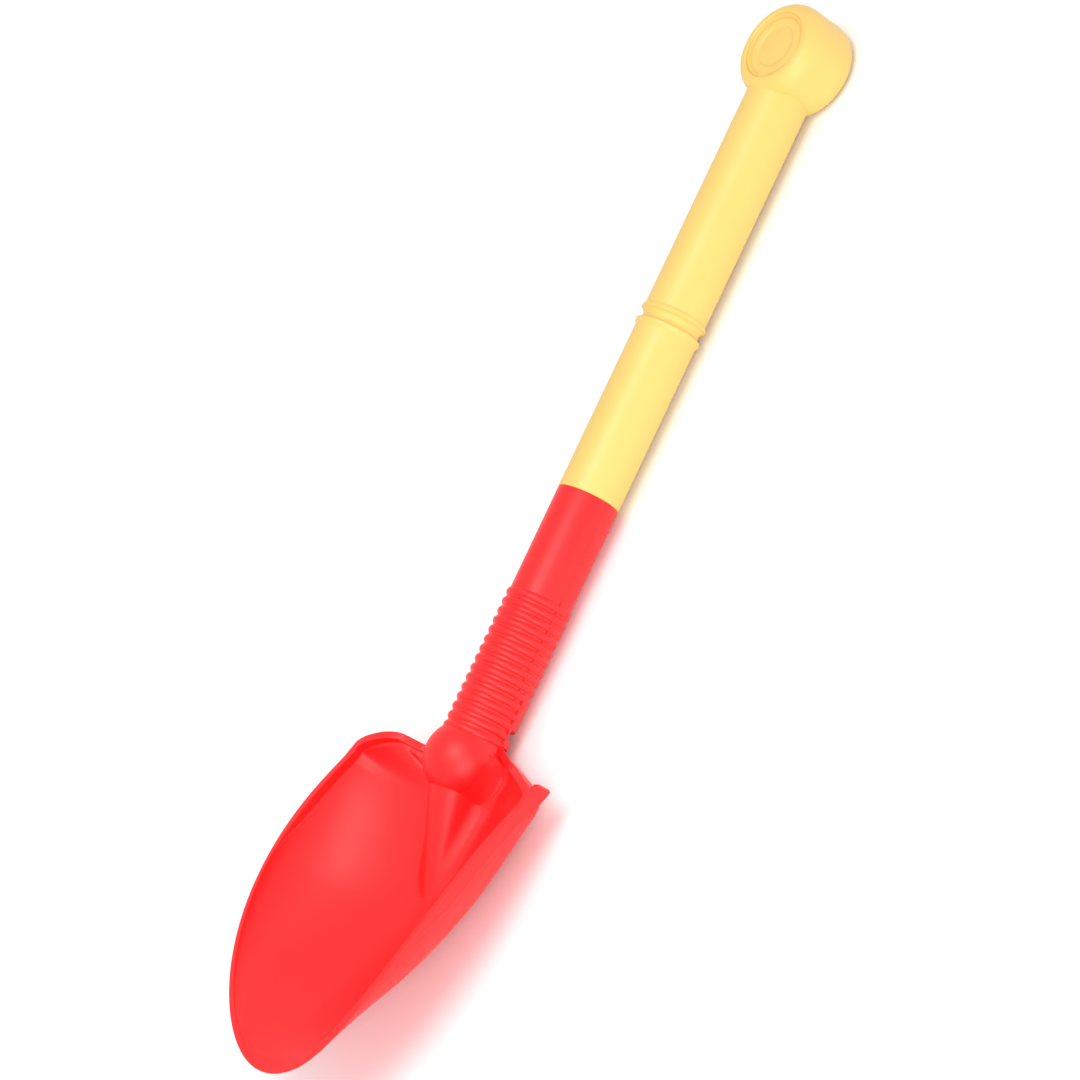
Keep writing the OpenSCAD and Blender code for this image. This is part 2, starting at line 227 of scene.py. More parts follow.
def arc(centre: Row, radius: float, from_deg: float, to_deg: float, steps: int) -> list[Row]:
    """Points of a round stretch of a profile, with its ends.

    Args:
        centre: Centre of the arc.
        radius: Its radius.
        from_deg: Angle at which it starts.
        to_deg: Angle at which it ends.
        steps: Steps along it.

    Returns:
        The points, one more than the steps.
    """
    angles = np.radians(np.linspace(from_deg, to_deg, steps + 1))
    return [(centre[0] + radius * math.cos(a), centre[1] + radius * math.sin(a)) for a in angles]


@dataclass(frozen=True)
class Place:
    """Where the shovel's own terms lie in the frame, in millimetres."""

    joint_y: float
    axis_h: float

    def points(self, p: np.ndarray) -> np.ndarray:
        """Turns the shovel's own terms into metres in the frame.

        Args:
            p: Half widths, stations and heights, in millimetres.

        Returns:
            The points in metres, in the same layout.
        """
        return np.stack([p[..., 0], self.joint_y - p[..., 1], self.axis_h + p[..., 2]], -1) * MM


def mesh_of(name: str, verts: np.ndarray, faces: list[tuple[int, ...]]) -> bpy.types.Object:
    """Makes a closed mesh object, its doubles merged and its faces pointing outwards.

    Args:
        name: Name of the object.
        verts: Its points in metres, one a row.
        faces: Its faces as tuples of point numbers.

    Returns:
        The new object, linked to the scene.
    """
    bm = bmesh.new()
    made = [bm.verts.new(v) for v in verts.tolist()]
    for face in faces:
        bm.faces.new([made[i] for i in face])
    bmesh.ops.remove_doubles(bm, verts=bm.verts, dist=OVERRUN * MM * MM)
    bmesh.ops.recalc_face_normals(bm, faces=bm.faces)
    odd = sum(not edge.is_manifold for edge in bm.edges)
    if odd:
        LOG.warning("%s has %d open or doubled edges", name, odd)
    mesh = bpy.data.meshes.new(name)
    bm.to_mesh(mesh)
    bm.free()
    obj = bpy.data.objects.new(name, mesh)
    bpy.context.scene.collection.objects.link(obj)
    return obj


def loft(name: str, rings: np.ndarray, capped: tuple[bool, bool]) -> bpy.types.Object:
    """Skins a row of closed rings that have as many points each.

    Args:
        name: Name of the object.
        rings: Points in metres, as rings by points by three.
        capped: Whether the first and the last ring are closed with a face.

    Returns:
        The new object.
    """
    n, m = rings.shape[:2]
    faces: list[tuple[int, ...]] = []
    for i in range(n - 1):
        for j in range(m):
            k = (j + 1) % m
            faces.append((i * m + j, i * m + k, (i + 1) * m + k, (i + 1) * m + j))
    if capped[0]:
        faces.append(tuple(range(m)))
    if capped[1]:
        faces.append(tuple((n - 1) * m + j for j in range(m)))
    return mesh_of(name, rings.reshape(-1, 3), faces)


def turned(
    name: str, profile: list[Row], place: Place, around: int, upright: float | None = None
) -> bpy.types.Object:
    """Turns a profile that starts and ends on its axis into a closed form.

    Args:
        name: Name of the object.
        profile: Rows of radius and station, or of radius and height for an upright form.
        place: Where the shovel's terms lie in the frame.
        around: Steps round the form.
        upright: Station of an upright form's axis, or nothing for a form round the tube's axis.

    Returns:
        The new object.
    """
    rows = np.array(profile, float)
    angles = np.linspace(0.0, 2 * math.pi, around, endpoint=False)
    r, d = rows[1:-1, :1], rows[1:-1, 1:]
    across, other = r * np.cos(angles), r * np.sin(angles)
    flat = d + 0 * angles
    ends = rows[[0, -1], 1]
    if upright is None:
        p = np.stack([across, flat, other], -1)
        poles = np.array([(0.0, e, 0.0) for e in ends])
    else:
        p = np.stack([across, upright + other, flat], -1)
        poles = np.array([(0.0, upright, e) for e in ends])
    n = len(rows) - 2
    verts = np.vstack([place.points(p).reshape(-1, 3), place.points(poles)])
    faces: list[tuple[int, ...]] = []
    for j in range(around):
        k = (j + 1) % around
        faces.append((n * around, j, k))
        faces.append((n * around + 1, (n - 1) * around + k, (n - 1) * around + j))
        for i in range(n - 1):
            a, b = i * around, (i + 1) * around
            faces.append((a + j, a + k, b + k, b + j))
    return mesh_of(name, verts, faces)


def join(base: bpy.types.Object, others: list[bpy.types.Object], how: Joining) -> bpy.types.Object:
    """Joins closed forms to a base form, one after the other, and deletes them.

    Args:
        base: The form that is changed.
        others: The forms that are added to it or cut from it.
        how: The way of joining.

    Returns:
        The base, with its new mesh.
    """
    for other in others:
        step = base.modifiers.new(how.name.lower(), "BOOLEAN")
        step.operation = how.value
        step.solver = "MANIFOLD"
        step.object = other
        bake(base)
        LOG.info("%s %s: %d faces", how.name.lower(), other.name, len(base.data.polygons))
        bpy.data.objects.remove(other)
    return base


def bake(obj: bpy.types.Object) -> None:
    """Turns an object's modifiers into its plain mesh and removes them.

    Args:
        obj: The object, whose mesh is replaced.
    """
    mesh = bpy.data.meshes.new_from_object(obj.evaluated_get(bpy.context.evaluated_depsgraph_get()))
    obj.modifiers.clear()
    old, obj.data = obj.data, mesh
    bpy.data.meshes.remove(old)


def clean(piece: bpy.types.Object) -> None:
    """Merges points closer than the joins are exact, and drops the slivers between them.

    Args:
        piece: The finished piece, whose mesh is changed.
    """
    bm = bmesh.new()
    bm.from_mesh(piece.data)
    bmesh.ops.remove_doubles(bm, verts=bm.verts, dist=SLIVER * MM)
    bmesh.ops.dissolve_degenerate(bm, dist=SLIVER * MM, edges=bm.edges)
    LOG.info("%s has %d open edges", piece.name, sum(edge.is_boundary for edge in bm.edges))
    bm.to_mesh(piece.data)
    bm.free()


def dress(piece: bpy.types.Object, material: bpy.types.Material, node: str) -> None:
    """Gives a finished piece its shading, its material and its place in the frame.

    Args:
        piece: The finished piece.
        material: Its material.
        node: The node that the piece stands for.
    """
    clean(piece)
    piece.data.materials.clear()
    piece.data.materials.append(material)
    piece.data.shade_smooth()
    piece.data.set_sharp_from_angle(angle=math.radians(CRISP_DEG))
    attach(piece, ROOT_BODY)
    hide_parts(node)
    LOG.info("%s stands for %s with %d faces", piece.name, node, len(piece.data.polygons))


@dataclass(frozen=True)
class MouldedPlastic:
    """A moulded polyolefin: satin, slightly uneven in colour and gloss, with a fine grain."""

    name: str
    slot: str
    colour: str
    deep_colour: str
    ior: float
    roughness: float
    roughness_spread: float
    cloud_mm: float
    grain_mm: float
    grain_h: float
    grain_strength: float

    def build(self) -> bpy.types.Material:
        """Makes the material of nodes.

        Returns:
            The material, uneven in colour and gloss by one soft pattern, with a fine grain.
        """
        material = bpy.data.materials.new(self.name)
        material.use_nodes = True
        tree = material.node_tree
        tree.nodes.clear()
        place = add_node(tree, "ShaderNodeTexCoord", {}, {}).outputs["Object"]
        cloud = add_node(
            tree,
            "ShaderNodeTexNoise",
            {},
            {"Vector": place, "Scale": 1 / (self.cloud_mm * MM), "Detail": 3.0},
        )
        colour = add_node(
            tree,
            "ShaderNodeMix",
            {"data_type": "RGBA"},
            {"Factor": cloud.outputs["Fac"], 6: linear(self.colour), 7: linear(self.deep_colour)},
        )
        gloss = add_node(
            tree,
            "ShaderNodeMapRange",
            {},
            {
                "Value": cloud.outputs["Fac"],
                "To Min": self.roughness - self.roughness_spread,
                "To Max": self.roughness + self.roughness_spread,
            },
        )
        grain = add_node(
            tree,
            "ShaderNodeTexNoise",
            {},
            {"Vector": place, "Scale": 1 / (self.grain_mm * MM), "Detail": 2.0},
        )
        bump = add_node(
            tree,
            "ShaderNodeBump",
            {},
            {"Height": grain.outputs["Fac"], "Strength": self.grain_strength, "Distance": self.grain_h * MM},
        )
        shader = add_node(
            tree,
            "ShaderNodeBsdfPrincipled",
            {},
            {
                "Base Color": colour.outputs[2],
                "Roughness": gloss.outputs["Result"],
                "Normal": bump.outputs["Normal"],
                "IOR": self.ior,
            },
        )
        add_node(tree, "ShaderNodeOutputMaterial", {}, {"Surface": shader.outputs["BSDF"]})
        return material


# Injection-moulded polypropylene from a finely blasted mould: satin, with a soft broad highlight
RED_POLYPROPYLENE = MouldedPlastic(
    name="red_polypropylene",
    slot="red_polypropylene",
    colour="F2181B",
    deep_colour="EE1417",
    ior=1.49,
    roughness=0.44,
    roughness_spread=0.05,
    cloud_mm=14.0,
    grain_mm=0.5,
    grain_h=0.02,
    grain_strength=0.5,
)
# Blow-moulded polyethylene: waxy and a little duller, its grain drawn coarser than it is to show
YELLOW_POLYETHYLENE = MouldedPlastic(
    name="yellow_polyethylene",
    slot="yellow_polyethylene",
    colour="E8C26B",
    deep_colour="E4BD61",
    ior=1.54,
    roughness=0.42,
    roughness_spread=0.05,
    cloud_mm=18.0,
    grain_mm=0.6,
    grain_h=0.02,
    grain_strength=0.5,
)


class RibMaker:
    """Grip ribs round a tube: one ring or arc swept from a circle, repeated along the tube."""

    def __init__(self, material: bpy.types.Material) -> None:
        """Builds the node tree that makes the ribs.

        Args:
            material: The finish of the ribs.
        """
        self.material = material
        self.ids: dict[str, str] = {}
        self.tree = self._tree()

    def _tree(self) -> bpy.types.NodeTree:
        """Builds the tree, with a named input for each size.

        Returns:
            The tree, which ends in real meshes with their finish.
        """
        tree = bpy.data.node_groups.new("grip_ribs", "GeometryNodeTree")
        tree.is_modifier = True
        tree.interface.new_socket(name="Geometry", in_out="OUTPUT", socket_type="NodeSocketGeometry")
        wanted = {
            "Count": "NodeSocketInt",
            "Pitch": "NodeSocketFloat",
            "Crest Radius": "NodeSocketFloat",
            "Round Radius": "NodeSocketFloat",
            "Start Angle": "NodeSocketFloat",
            "Sweep Angle": "NodeSocketFloat",
            "All Round": "NodeSocketBool",
            "Finish": "NodeSocketMaterial",
        }
        for name, kind in wanted.items():
            socket = tree.interface.new_socket(name=name, in_out="INPUT", socket_type=kind)
            self.ids[name] = socket.identifier
        given = add_node(tree, "NodeGroupInput", {}, {}).outputs
        path_r = add_node(
            tree,
            "ShaderNodeMath",
            {"operation": "SUBTRACT"},
            {0: given["Crest Radius"], 1: given["Round Radius"]},
        ).outputs[0]
        ring = add_node(
            tree,
            "GeometryNodeCurvePrimitiveCircle",
            {"mode": "RADIUS"},
            {"Resolution": 120, "Radius": path_r},
        )
        part = add_node(
            tree,
            "GeometryNodeCurveArc",
            {"mode": "RADIUS"},
            {
                "Resolution": 80,
                "Radius": path_r,
                "Start Angle": given["Start Angle"],
                "Sweep Angle": given["Sweep Angle"],
            },
        )
        path = add_node(
            tree,
            "GeometryNodeSwitch",
            {"input_type": "GEOMETRY"},
            {"Switch": given["All Round"], "False": part.outputs["Curve"], "True": ring.outputs["Curve"]},
        )
        bead = add_node(
            tree,
            "GeometryNodeCurvePrimitiveCircle",
            {"mode": "RADIUS"},
            {"Resolution": 28, "Radius": given["Round Radius"]},
        )
        rib = add_node(
            tree,
            "GeometryNodeCurveToMesh",
            {},
            {"Curve": path.outputs[0], "Profile Curve": bead.outputs["Curve"], "Fill Caps": True},
        )
        step = add_node(tree, "ShaderNodeCombineXYZ", {}, {"Z": given["Pitch"]})
        row = add_node(
            tree,
            "GeometryNodeMeshLine",
            {"mode": "OFFSET"},
            {"Count": given["Count"], "Offset": step.outputs[0]},
        )
        ribs = add_node(
            tree, "GeometryNodeInstanceOnPoints", {}, {"Points": row.outputs[0], "Instance": rib.outputs[0]}
        )
        real = add_node(tree, "GeometryNodeRealizeInstances", {}, {"Geometry": ribs.outputs[0]})
        finish = add_node(
            tree, "GeometryNodeSetMaterial", {}, {"Geometry": real.outputs[0], "Material": given["Finish"]}
        )
        add_node(tree, "NodeGroupOutput", {}, {"Geometry": finish.outputs[0]})
        return tree

    def build(
        self, name: str, first_y: float, sizes: dict[str, float | int | bool], place: Place
    ) -> bpy.types.Object:
        """Makes a row of ribs.

        Args:
            name: Name of the object.
            first_y: Station of the first rib, in millimetres.
            sizes: Values of the tree's inputs by name, lengths in metres.
            place: Where the shovel's terms lie in the frame.

        Returns:
            The ribs as one object of closed forms.
        """
        obj = bpy.data.objects.new(name, bpy.data.meshes.new(name))
        bpy.context.scene.collection.objects.link(obj)
        step = obj.modifiers.new(name, "NODES")
        step.node_group = self.tree
        for key, value in {**sizes, "Finish": self.material}.items():
            step[self.ids[key]] = value
        bake(obj)
        raw = np.array([tuple(v.co) for v in obj.data.vertices]) / MM
        verts = place.points(np.stack([raw[:, 0], first_y + raw[:, 2], raw[:, 1]], 1))
        faces = [tuple(p.vertices) for p in obj.data.polygons]
        bpy.data.objects.remove(obj)
        return mesh_of(name, verts, faces)


@dataclass
class Scoop:
    """The red moulding: scoop, ball, hollow ridge and ribbed socket in one piece."""

    place: Place
    socket_r: float = 13.85
    # Station at which the socket's form ends, inside the ball
    socket_end_y: float = 118.0
    neck_y: float = 112.3
    corner_y: float = 139.0
    side_y: float = 155.0
    tip_y: float = 279.8
    rim_half_w: float = 63.4
    web_drop: float = 3.0
    corner_h: float = 11.5
    tip_h: float = 25.5
    start_rise: float = 0.41
    end_fall: float = 0.2
    front_power: float = 2.08
    keel_flat_y: float = 174.0
    keel_end_rise: float = 0.28
    wall: float = 2.4
    tip_edge: float = 3.4
    lip_step: float = 1.4
    lip_out_h: float = 6.0
    lip_in_h: float = 4.4
    lip_wall: float = 3.3
    lip_draft: float = 0.35
    bead_h: float = 1.0
    bead_step: float = 0.35
    lip_out_run: tuple[float, float] = (188.0, 216.0)
    lip_in_run: tuple[float, float] = (162.0, 196.0)
    # Stations of the sections' powers: squarer behind, nearly a triangle towards the tip
    power_y: tuple[float, ...] = (130.0, 160.0, 190.0, 225.0, 262.0, 279.0)
    powers_out: tuple[float, ...] = (2.36, 2.2, 1.92, 1.86, 1.45, 1.4)
    powers_in: tuple[float, ...] = (1.65, 1.75, 1.8, 1.75, 1.45, 1.4)
    # How far forwards of their rim the sections meet the middle, behind and at the corner
    fan: float = 13.0
    corner_fan_out: float = 1.5
    corner_fan_in: float = 8.0
    # How far forwards the back wall runs for its depth, and the half widths over which that fades
    back_slant: float = 0.36
    slant_run: Row = (36.0, 62.0)
    fan_end_y: float = 190.0
    # Share of the way down the inside over which the rim's bends behind are evened out
    even_share: float = 0.3
    ball_r: float = 17.6
    ball_y: float = 124.3
    ball_fillet: float = 7.5
    ball_inset: float = 0.15
    pillar_back_y: float = 117.5
    draft: float = math.radians(14.0)
    blend: float = 7.0
    ridge_root_r: float = 12.1
    ridge_end_r: float = 5.4
    ridge_root_h: float = 4.2
    ridge_end_h: float = -18.0
    ridge_end_y: float = 185.0
    ridge_fillet: float = 11.0
    bore_r: float = 11.5
    bore_depth: float = 98.9
    mouth_round: float = 0.4
    rib_count: int = 15
    full_rib_count: int = 10
    first_rib_y: float = 50.3
    rib_pitch: float = 4.487
    rib_crest_r: float = 14.77
    rib_round_r: float = 2.1
    band_r: float = 14.6
    band_y: float = 87.0
    band_ramp: float = 4.0
    # The band's foot before its ramp, how far the ramp starts inside the socket, and its soft top edge
    band_foot: float = 1.0
    band_sink: float = 0.1
    band_edge: float = 0.05
    band_start_deg: float = 16.5
    slot_r: float = 2.5
    slot_y: float = 107.0
    slot_drop: float = 7.7
    # The seam's size, how far under the ribs' crests it lies, and where it starts and ends on the
    # plain socket and on the ribs
    seam_h: float = 0.14
    seam_half_w: float = 0.2
    seam_drop: float = 0.45
    seam_plain_run: Row = (1.0, 46.0)
    seam_rib_run: Row = (49.0, 94.0)
    # The side lip's rear end: how far it is drawn in, its edges' rounding, and its narrowed first rings
    end_inset: float = 0.4
    end_round: float = 0.45
    end_shrink: float = 0.6
    end_steps: int = 4
    # Powers and shares that shape the lip: how fast the edge thickens towards the tip, how much of the
    # half width the step may take, how much of the depth the lip may take, and the lip's inner root
    tip_power: int = 3
    step_share: float = 0.2
    lip_share: float = 0.3
    floor_gap_share: float = 0.6
    lip_root_share: float = 0.9
    # How far from its corner each rounding of the lip starts
    lip_rounds: tuple[float, ...] = (0.0, 0.5, 0.5, 0.45, 0.3, 0.0)
    lip_round_steps: int = 4
    rear_steps: int = 5
    side_steps: int = 14
    front_steps: int = 104
    outer_steps: int = 40
    inner_steps: int = 110
    # Rear end of the side lip: station, half width and height of its outer top edge, lean and depth
    lip_end_path: tuple[tuple[float, ...], ...] = (
        (126.7, 60.3, 5.7, 1.7, 6.4),
        (128.3, 61.1, 7.1, 1.6, 6.9),
        (130.0, 61.8, 8.5, 1.4, 7.5),
        (133.0, 62.6, 10.0, 0.7, 7.8),
        (136.0, 63.0, 10.7, 0.3, 7.4),
        (139.5, 63.2, 11.3, 0.1, 6.7),
        (143.0, 63.2, 12.6, 0.0, 6.3),
    )
    # Rear edge of the rim, as shares of the way out, forwards and up from the tube to the corner
    rear_shares: tuple[tuple[float, float, float], ...] = (
        (0.0, 0.0, 0.0),
        (0.125, 0.12, 0.0),
        (0.245, 0.235, 0.0),
        (0.36, 0.33, 0.06),
        (0.43, 0.335, 0.36),
        (0.485, 0.33, 0.62),
        (0.55, 0.337, 0.76),
        (0.67, 0.408, 0.917),
        (0.825, 0.535, 0.98),
        (0.935, 0.66, 0.955),
        (0.984, 0.785, 0.92),
        (1.0, 1.0, 1.0),
    )

    def side_h(self, y: np.ndarray) -> np.ndarray:
        """Height of the rim along the side and the front."""
        run = self.tip_y - self.corner_y
        share = (y - self.corner_y) / run
        return ease(self.corner_h, self.tip_h, self.start_rise, -self.end_fall, run, share)

    def keel_h(self, y: np.ndarray) -> np.ndarray:
        """Height of the keel's outside."""
        run = self.tip_y - self.keel_flat_y
        t = np.clip((y - self.keel_flat_y) / run, 0.0, 1.0)
        return ease(-self.place.axis_h, self.tip_h, 0.0, self.keel_end_rise, run, t)

    def rim(self) -> np.ndarray:
        """Outer top edge of the right half's rim.

        Returns:
            Its points from the tube to the tip, one a row.
        """
        start = np.array([self.socket_r - 2 * OVERRUN, self.neck_y, -self.web_drop])
        end = np.array([self.rim_half_w, self.corner_y, self.corner_h])
        rear = through(start + (end - start) * np.array(self.rear_shares), self.rear_steps)
        y = np.linspace(self.corner_y, self.side_y, self.side_steps, endpoint=False)
        side = np.stack([np.full_like(y, self.rim_half_w), y, self.side_h(y)], 1)
        a = np.radians(np.linspace(0.0, 90.0, self.front_steps))
        share = 2 / self.front_power
        y = self.side_y + (self.tip_y - self.side_y) * np.sin(a) ** share
        front = np.stack([self.rim_half_w * np.clip(np.cos(a), 0.0, 1.0) ** share, y, self.side_h(y)], 1)
        front[-1, 0] = 0.0
        return np.vstack([rear, side, front])

    def spine_y(self, rim: np.ndarray, top: np.ndarray, corner_fan: float) -> np.ndarray:
        """Station at which each section meets the middle, fanned out behind and straight in front.

        Args:
            rim: The rim's outer top edge.
            top: The wall's top in each section.
            corner_fan: How far forwards the section of the rim's corner runs.

        Returns:
            The station of each section's end, which rises all the way.
        """
        strides = np.linalg.norm(np.diff(rim[:, :2], axis=0), axis=1)
        along = np.concatenate([[0.0], np.cumsum(strides)])
        web = int(np.argmax(rim[:, 0] > self.rim_half_w / 2))
        corner, straight = (int(np.argmax(rim[:, 1] >= y)) for y in (self.corner_y, self.fan_end_y))
        knots = [top[0, 1], top[web, 1] + self.fan, self.corner_y + corner_fan, top[straight, 1]]
        spine = np.interp(along, along[[0, web, corner, straight]], knots)
        return np.where(np.arange(len(rim)) < straight, spine, top[:, 1])

    def half_section(
        self,
        top: np.ndarray,
        spine: np.ndarray,
        depth: np.ndarray,
        drop: np.ndarray,
        powers: tuple[float, ...],
        steps: int,
    ) -> list[np.ndarray]:
        """Points down one half of all the sections, from the wall's top to the middle.

        Args:
            top: Half width, station and rim height of each section.
            spine: Station at which each section meets the middle.
            depth: Depth of each section under the rim.
            drop: How far under the rim each section starts.
            powers: Power of the sections' curve at each of power_y.
            steps: Steps down each half.

        Returns:
            For each step down, its points in all the sections, one a row.
        """
        power = np.interp(top[:, 1], self.power_y, powers)
        start = np.arcsin(np.minimum(drop / depth, 0.5) ** (power / 2))
        whole = top[:, 0] / np.cos(start) ** (2 / power)
        out = []
        slant = self.back_slant * (1 - soft(*self.slant_run, top[:, 0])) * (top[:, 1] < self.corner_y)
        for t in np.linspace(0.0, 1.0, steps + 1):
            a = start + (math.pi / 2 - start) * (1 - (1 - t) ** STEP_POWER)
            share = np.clip(np.cos(a), 0.0, 1.0) ** (2 / power) * (t < 1)
            y = spine + (top[:, 1] - spine) * share * whole / np.maximum(top[:, 0], MM)
            down = depth * np.sin(a) ** (2 / power)
            y = np.where(top[:, 0] < MM, top[:, 1], y + slant * down * share)
            out.append(np.stack([whole * share, y, top[:, 2] - down], 1))
        return out

    def ridge_at(self, y: np.ndarray) -> tuple[np.ndarray, np.ndarray]:
        """The ridge at a station.

        Args:
            y: The station or stations.

        Returns:
            The ridge's radius there, and the height of its axis.
        """
        t = np.clip((y - self.ball_y) / (self.ridge_end_y - self.ball_y), 0.0, 1.0)
        radius = self.ridge_root_r + (self.ridge_end_r - self.ridge_root_r) * t
        return radius, self.ridge_root_h + (self.ridge_end_h - self.ridge_root_h) * t

    def raised(
        self, gap: np.ndarray, radius: np.ndarray, height: np.ndarray, fillet: float
    ) -> np.ndarray:
        """Height above the floor of a round-topped form with drafted sides and a hollow foot.

        Args:
            gap: Distance from the form's middle.
            radius: Radius of its top.
            height: Height of the top's centre above the floor.
            fillet: Radius of the rounding at its foot.

        Returns:
            The height at each gap, nought past the rounding.
        """
        lean, rest = math.cos(self.draft), math.sin(self.draft)
        slope = lean / rest
        low = (fillet - height) / (radius + fillet)
        on_round = np.sqrt(np.maximum((radius + fillet) ** 2 - (fillet - height) ** 2, 0.0))
        on_side = lean * (radius + fillet) + (height + rest * (radius + fillet) - fillet) / slope
        foot = np.where(low > rest, on_round, on_side)
        touch = np.where(low > rest, foot * radius / (radius + fillet), foot - lean * fillet)
        shoulder = radius * lean
        top = height + np.sqrt(np.maximum(radius**2 - np.minimum(gap, shoulder) ** 2, 0.0))
        top -= slope * np.maximum(gap - shoulder, 0.0)
        return np.where(gap < touch, np.maximum(top, 0.0), hollow_round(gap - foot + fillet, fillet))

    def swell(self, p: np.ndarray, floor: np.ndarray) -> np.ndarray:
        """Height that ball and ridge, with their hollow roundings, add at points of the inside.

        Args:
            p: The points, one a row.
            floor: Height of the floor in the middle of each one's section.

        Returns:
            The added height of each point.
        """
        x, y = np.abs(p[:, 0]), p[:, 1]
        ball_r = np.full_like(x, self.ball_r - self.ball_inset)
        ball = self.raised(np.hypot(x, y - self.ball_y), ball_r, -floor, self.ball_fillet)
        radius, height = self.ridge_at(y)
        ridge = self.raised(x, radius, height - floor, self.ridge_fillet)
        rise = np.maximum(ball, ridge * (y > self.ball_y) * (y < self.ridge_end_y))
        gap = p[:, 2] - floor
        near = np.maximum(self.blend - np.abs(gap - rise), 0.0) * np.minimum(gap, rise) / self.blend
        return np.maximum(rise - gap, 0.0) + np.minimum(near, self.blend / 4) * (rise > 0)

    def shell(self) -> bpy.types.Object:
        """The scoop's floor, walls, rear edge and stepped lip.

        Returns:
            The shell as one closed form, with ball and ridge raised in its inside.
        """
        rim = self.rim()
        w, y, u = rim.T
        d = np.gradient(rim[:, :2], axis=0)
        d[-1] = (-1.0, 0.0)
        n = np.stack([d[:, 1], -d[:, 0]], 1) / np.linalg.norm(d, axis=1, keepdims=True)
        rear = len(self.rear_shares) * self.rear_steps
        window = np.hanning(2 * self.rear_steps + 3)
        padded = [np.pad(c, self.rear_steps + 1, "edge") for c in n.T]
        eased = np.stack([np.convolve(c, window, "valid") for c in padded], 1)
        eased /= np.linalg.norm(eased, axis=1, keepdims=True)
        n[:rear] = eased[:rear]
        run_out = soft(*self.lip_out_run, y)
        stay = 1 - soft(*self.lip_in_run, y)
        step = np.minimum(self.lip_step + (self.bead_step - self.lip_step) * run_out, w * self.step_share)
        tip = np.clip((y - self.side_y) / (self.tip_y - self.side_y), 0.0, 1.0) ** self.tip_power
        edge = self.wall + (self.lip_wall - self.wall) * stay + (self.tip_edge - self.wall) * tip

        def drawn_in(by: np.ndarray) -> np.ndarray:
            """The rim's points, moved inwards.

            Args:
                by: How far each point moves.

            Returns:
                The moved points, one a row.
            """
            p = rim.copy()
            p[:, :2] -= n * by[:, None]
            p[:, 0] = np.maximum(p[:, 0], 0.0)
            return p

        lip_w = edge + self.lip_draft * stay
        outer_top, inner_top, edge_in = drawn_in(step), drawn_in(lip_w), drawn_in(edge)
        spine = self.spine_y(rim, outer_top, self.corner_fan_out)
        depth = np.maximum(u - self.keel_h(spine), OVERRUN)
        behind = (y < self.corner_y) * (1 - soft(*self.slant_run, w))
        lip = self.lip_out_h + (self.bead_h - self.lip_out_h) * np.maximum(run_out, behind)
        lip = np.minimum(lip, depth * self.lip_share)
        outer = self.half_section(outer_top, spine, depth, lip + step / 2, self.powers_out, self.outer_steps)
        spine_in = self.spine_y(rim, inner_top, self.corner_fan_in)
        rise = (self.keel_h(spine_in + OVERRUN) - self.keel_h(spine_in - OVERRUN)) / (2 * OVERRUN)
        above_keel = self.keel_h(spine_in) + self.wall * np.hypot(1, rise)
        floor = np.minimum(above_keel, u - OVERRUN * self.floor_gap_share)
        depth_in = u - floor
        lip_in = np.minimum(self.lip_in_h * stay + self.lip_draft, depth_in * self.lip_share)
        inner = self.half_section(inner_top, spine_in, depth_in, lip_in, self.powers_in, self.inner_steps)
        window = np.hanning(4 * self.rear_steps + 3)
        window /= window.sum()
        behind_front = 1 - soft(self.corner_y, self.fan_end_y, y)
        for k, p in enumerate(inner):
            padded = [np.pad(c, 2 * self.rear_steps + 1, "edge") for c in p.T]
            even = np.stack([np.convolve(c, window, "valid") for c in padded], 1)
            share = soft(0.0, self.even_share, np.array(k / self.inner_steps)) * behind_front
            p += (even - p) * share[:, None]
        floor = inner[-1][:, 2].copy()
        for p in inner:
            p[:, 2] += self.swell(p, floor)
        down = np.array([0.0, 0.0, 1.0])
        lip_foot = rim - lip[:, None] * down
        lip_root = edge_in - lip_in[:, None] * down * self.lip_root_share
        corners = [outer[0], lip_foot, rim, edge_in, lip_root, inner[0]]
        lips = rounded(corners, list(self.lip_rounds), self.lip_round_steps)
        half = np.stack(outer[:0:-1] + lips + inner[1:], 1)
        other = half[:, -2:0:-1].copy()
        other[..., 0] *= -1
        return loft("scoop_shell", self.place.points(np.concatenate([half, other], 1)), (True, False))

    def pillar(self, inset: float, foot: float) -> bpy.types.Object:
        """The upright hollow under the ball, which lets the mould's core out.

        Args:
            inset: Thickness of the wall round the hollow.
            foot: Height of the form's flat underside.

        Returns:
            The hollow's form, closed, to be cut out.
        """
        angles = np.linspace(0.0, 2 * math.pi, 120, endpoint=False)
        x = (self.ball_r - inset) * np.cos(angles)
        y = np.maximum(self.ball_y + (self.ball_r - inset) * np.sin(angles), self.pillar_back_y + inset)
        rings = [np.stack([x, y, np.full_like(x, u)], 1) for u in (foot, 0.0)]
        return loft("pillar", self.place.points(np.array(rings)), (True, True))

    def ridge(self, inset: float, foot: float) -> bpy.types.Object:
        """The hollow under the tapered ridge: round on top, with straight sides down to its foot.

        Args:
            inset: Thickness of the wall round the hollow.
            foot: Height of the form's flat underside.

        Returns:
            The hollow's form, closed, to be cut out.
        """
        rings = []
        drop = np.sin(np.linspace(0.0, math.pi / 2, 25)) ** 2
        for y in np.linspace(self.ball_y, self.ridge_end_y, 15):
            radius, height = (float(v) for v in self.ridge_at(np.array(y)))
            radius -= inset
            top = max(height + radius, foot + MM)
            u = top - (top - foot) * drop
            x = np.sqrt(np.maximum(radius**2 - np.maximum(u - height, 0.0) ** 2, 0.0))
            right = np.stack([x, np.full_like(x, y), u], 1)
            left = right[:0:-1].copy()
            left[:, 0] *= -1
            rings.append(np.vstack([right, left]))
        return loft("ridge", self.place.points(np.array(rings)), (True, True))

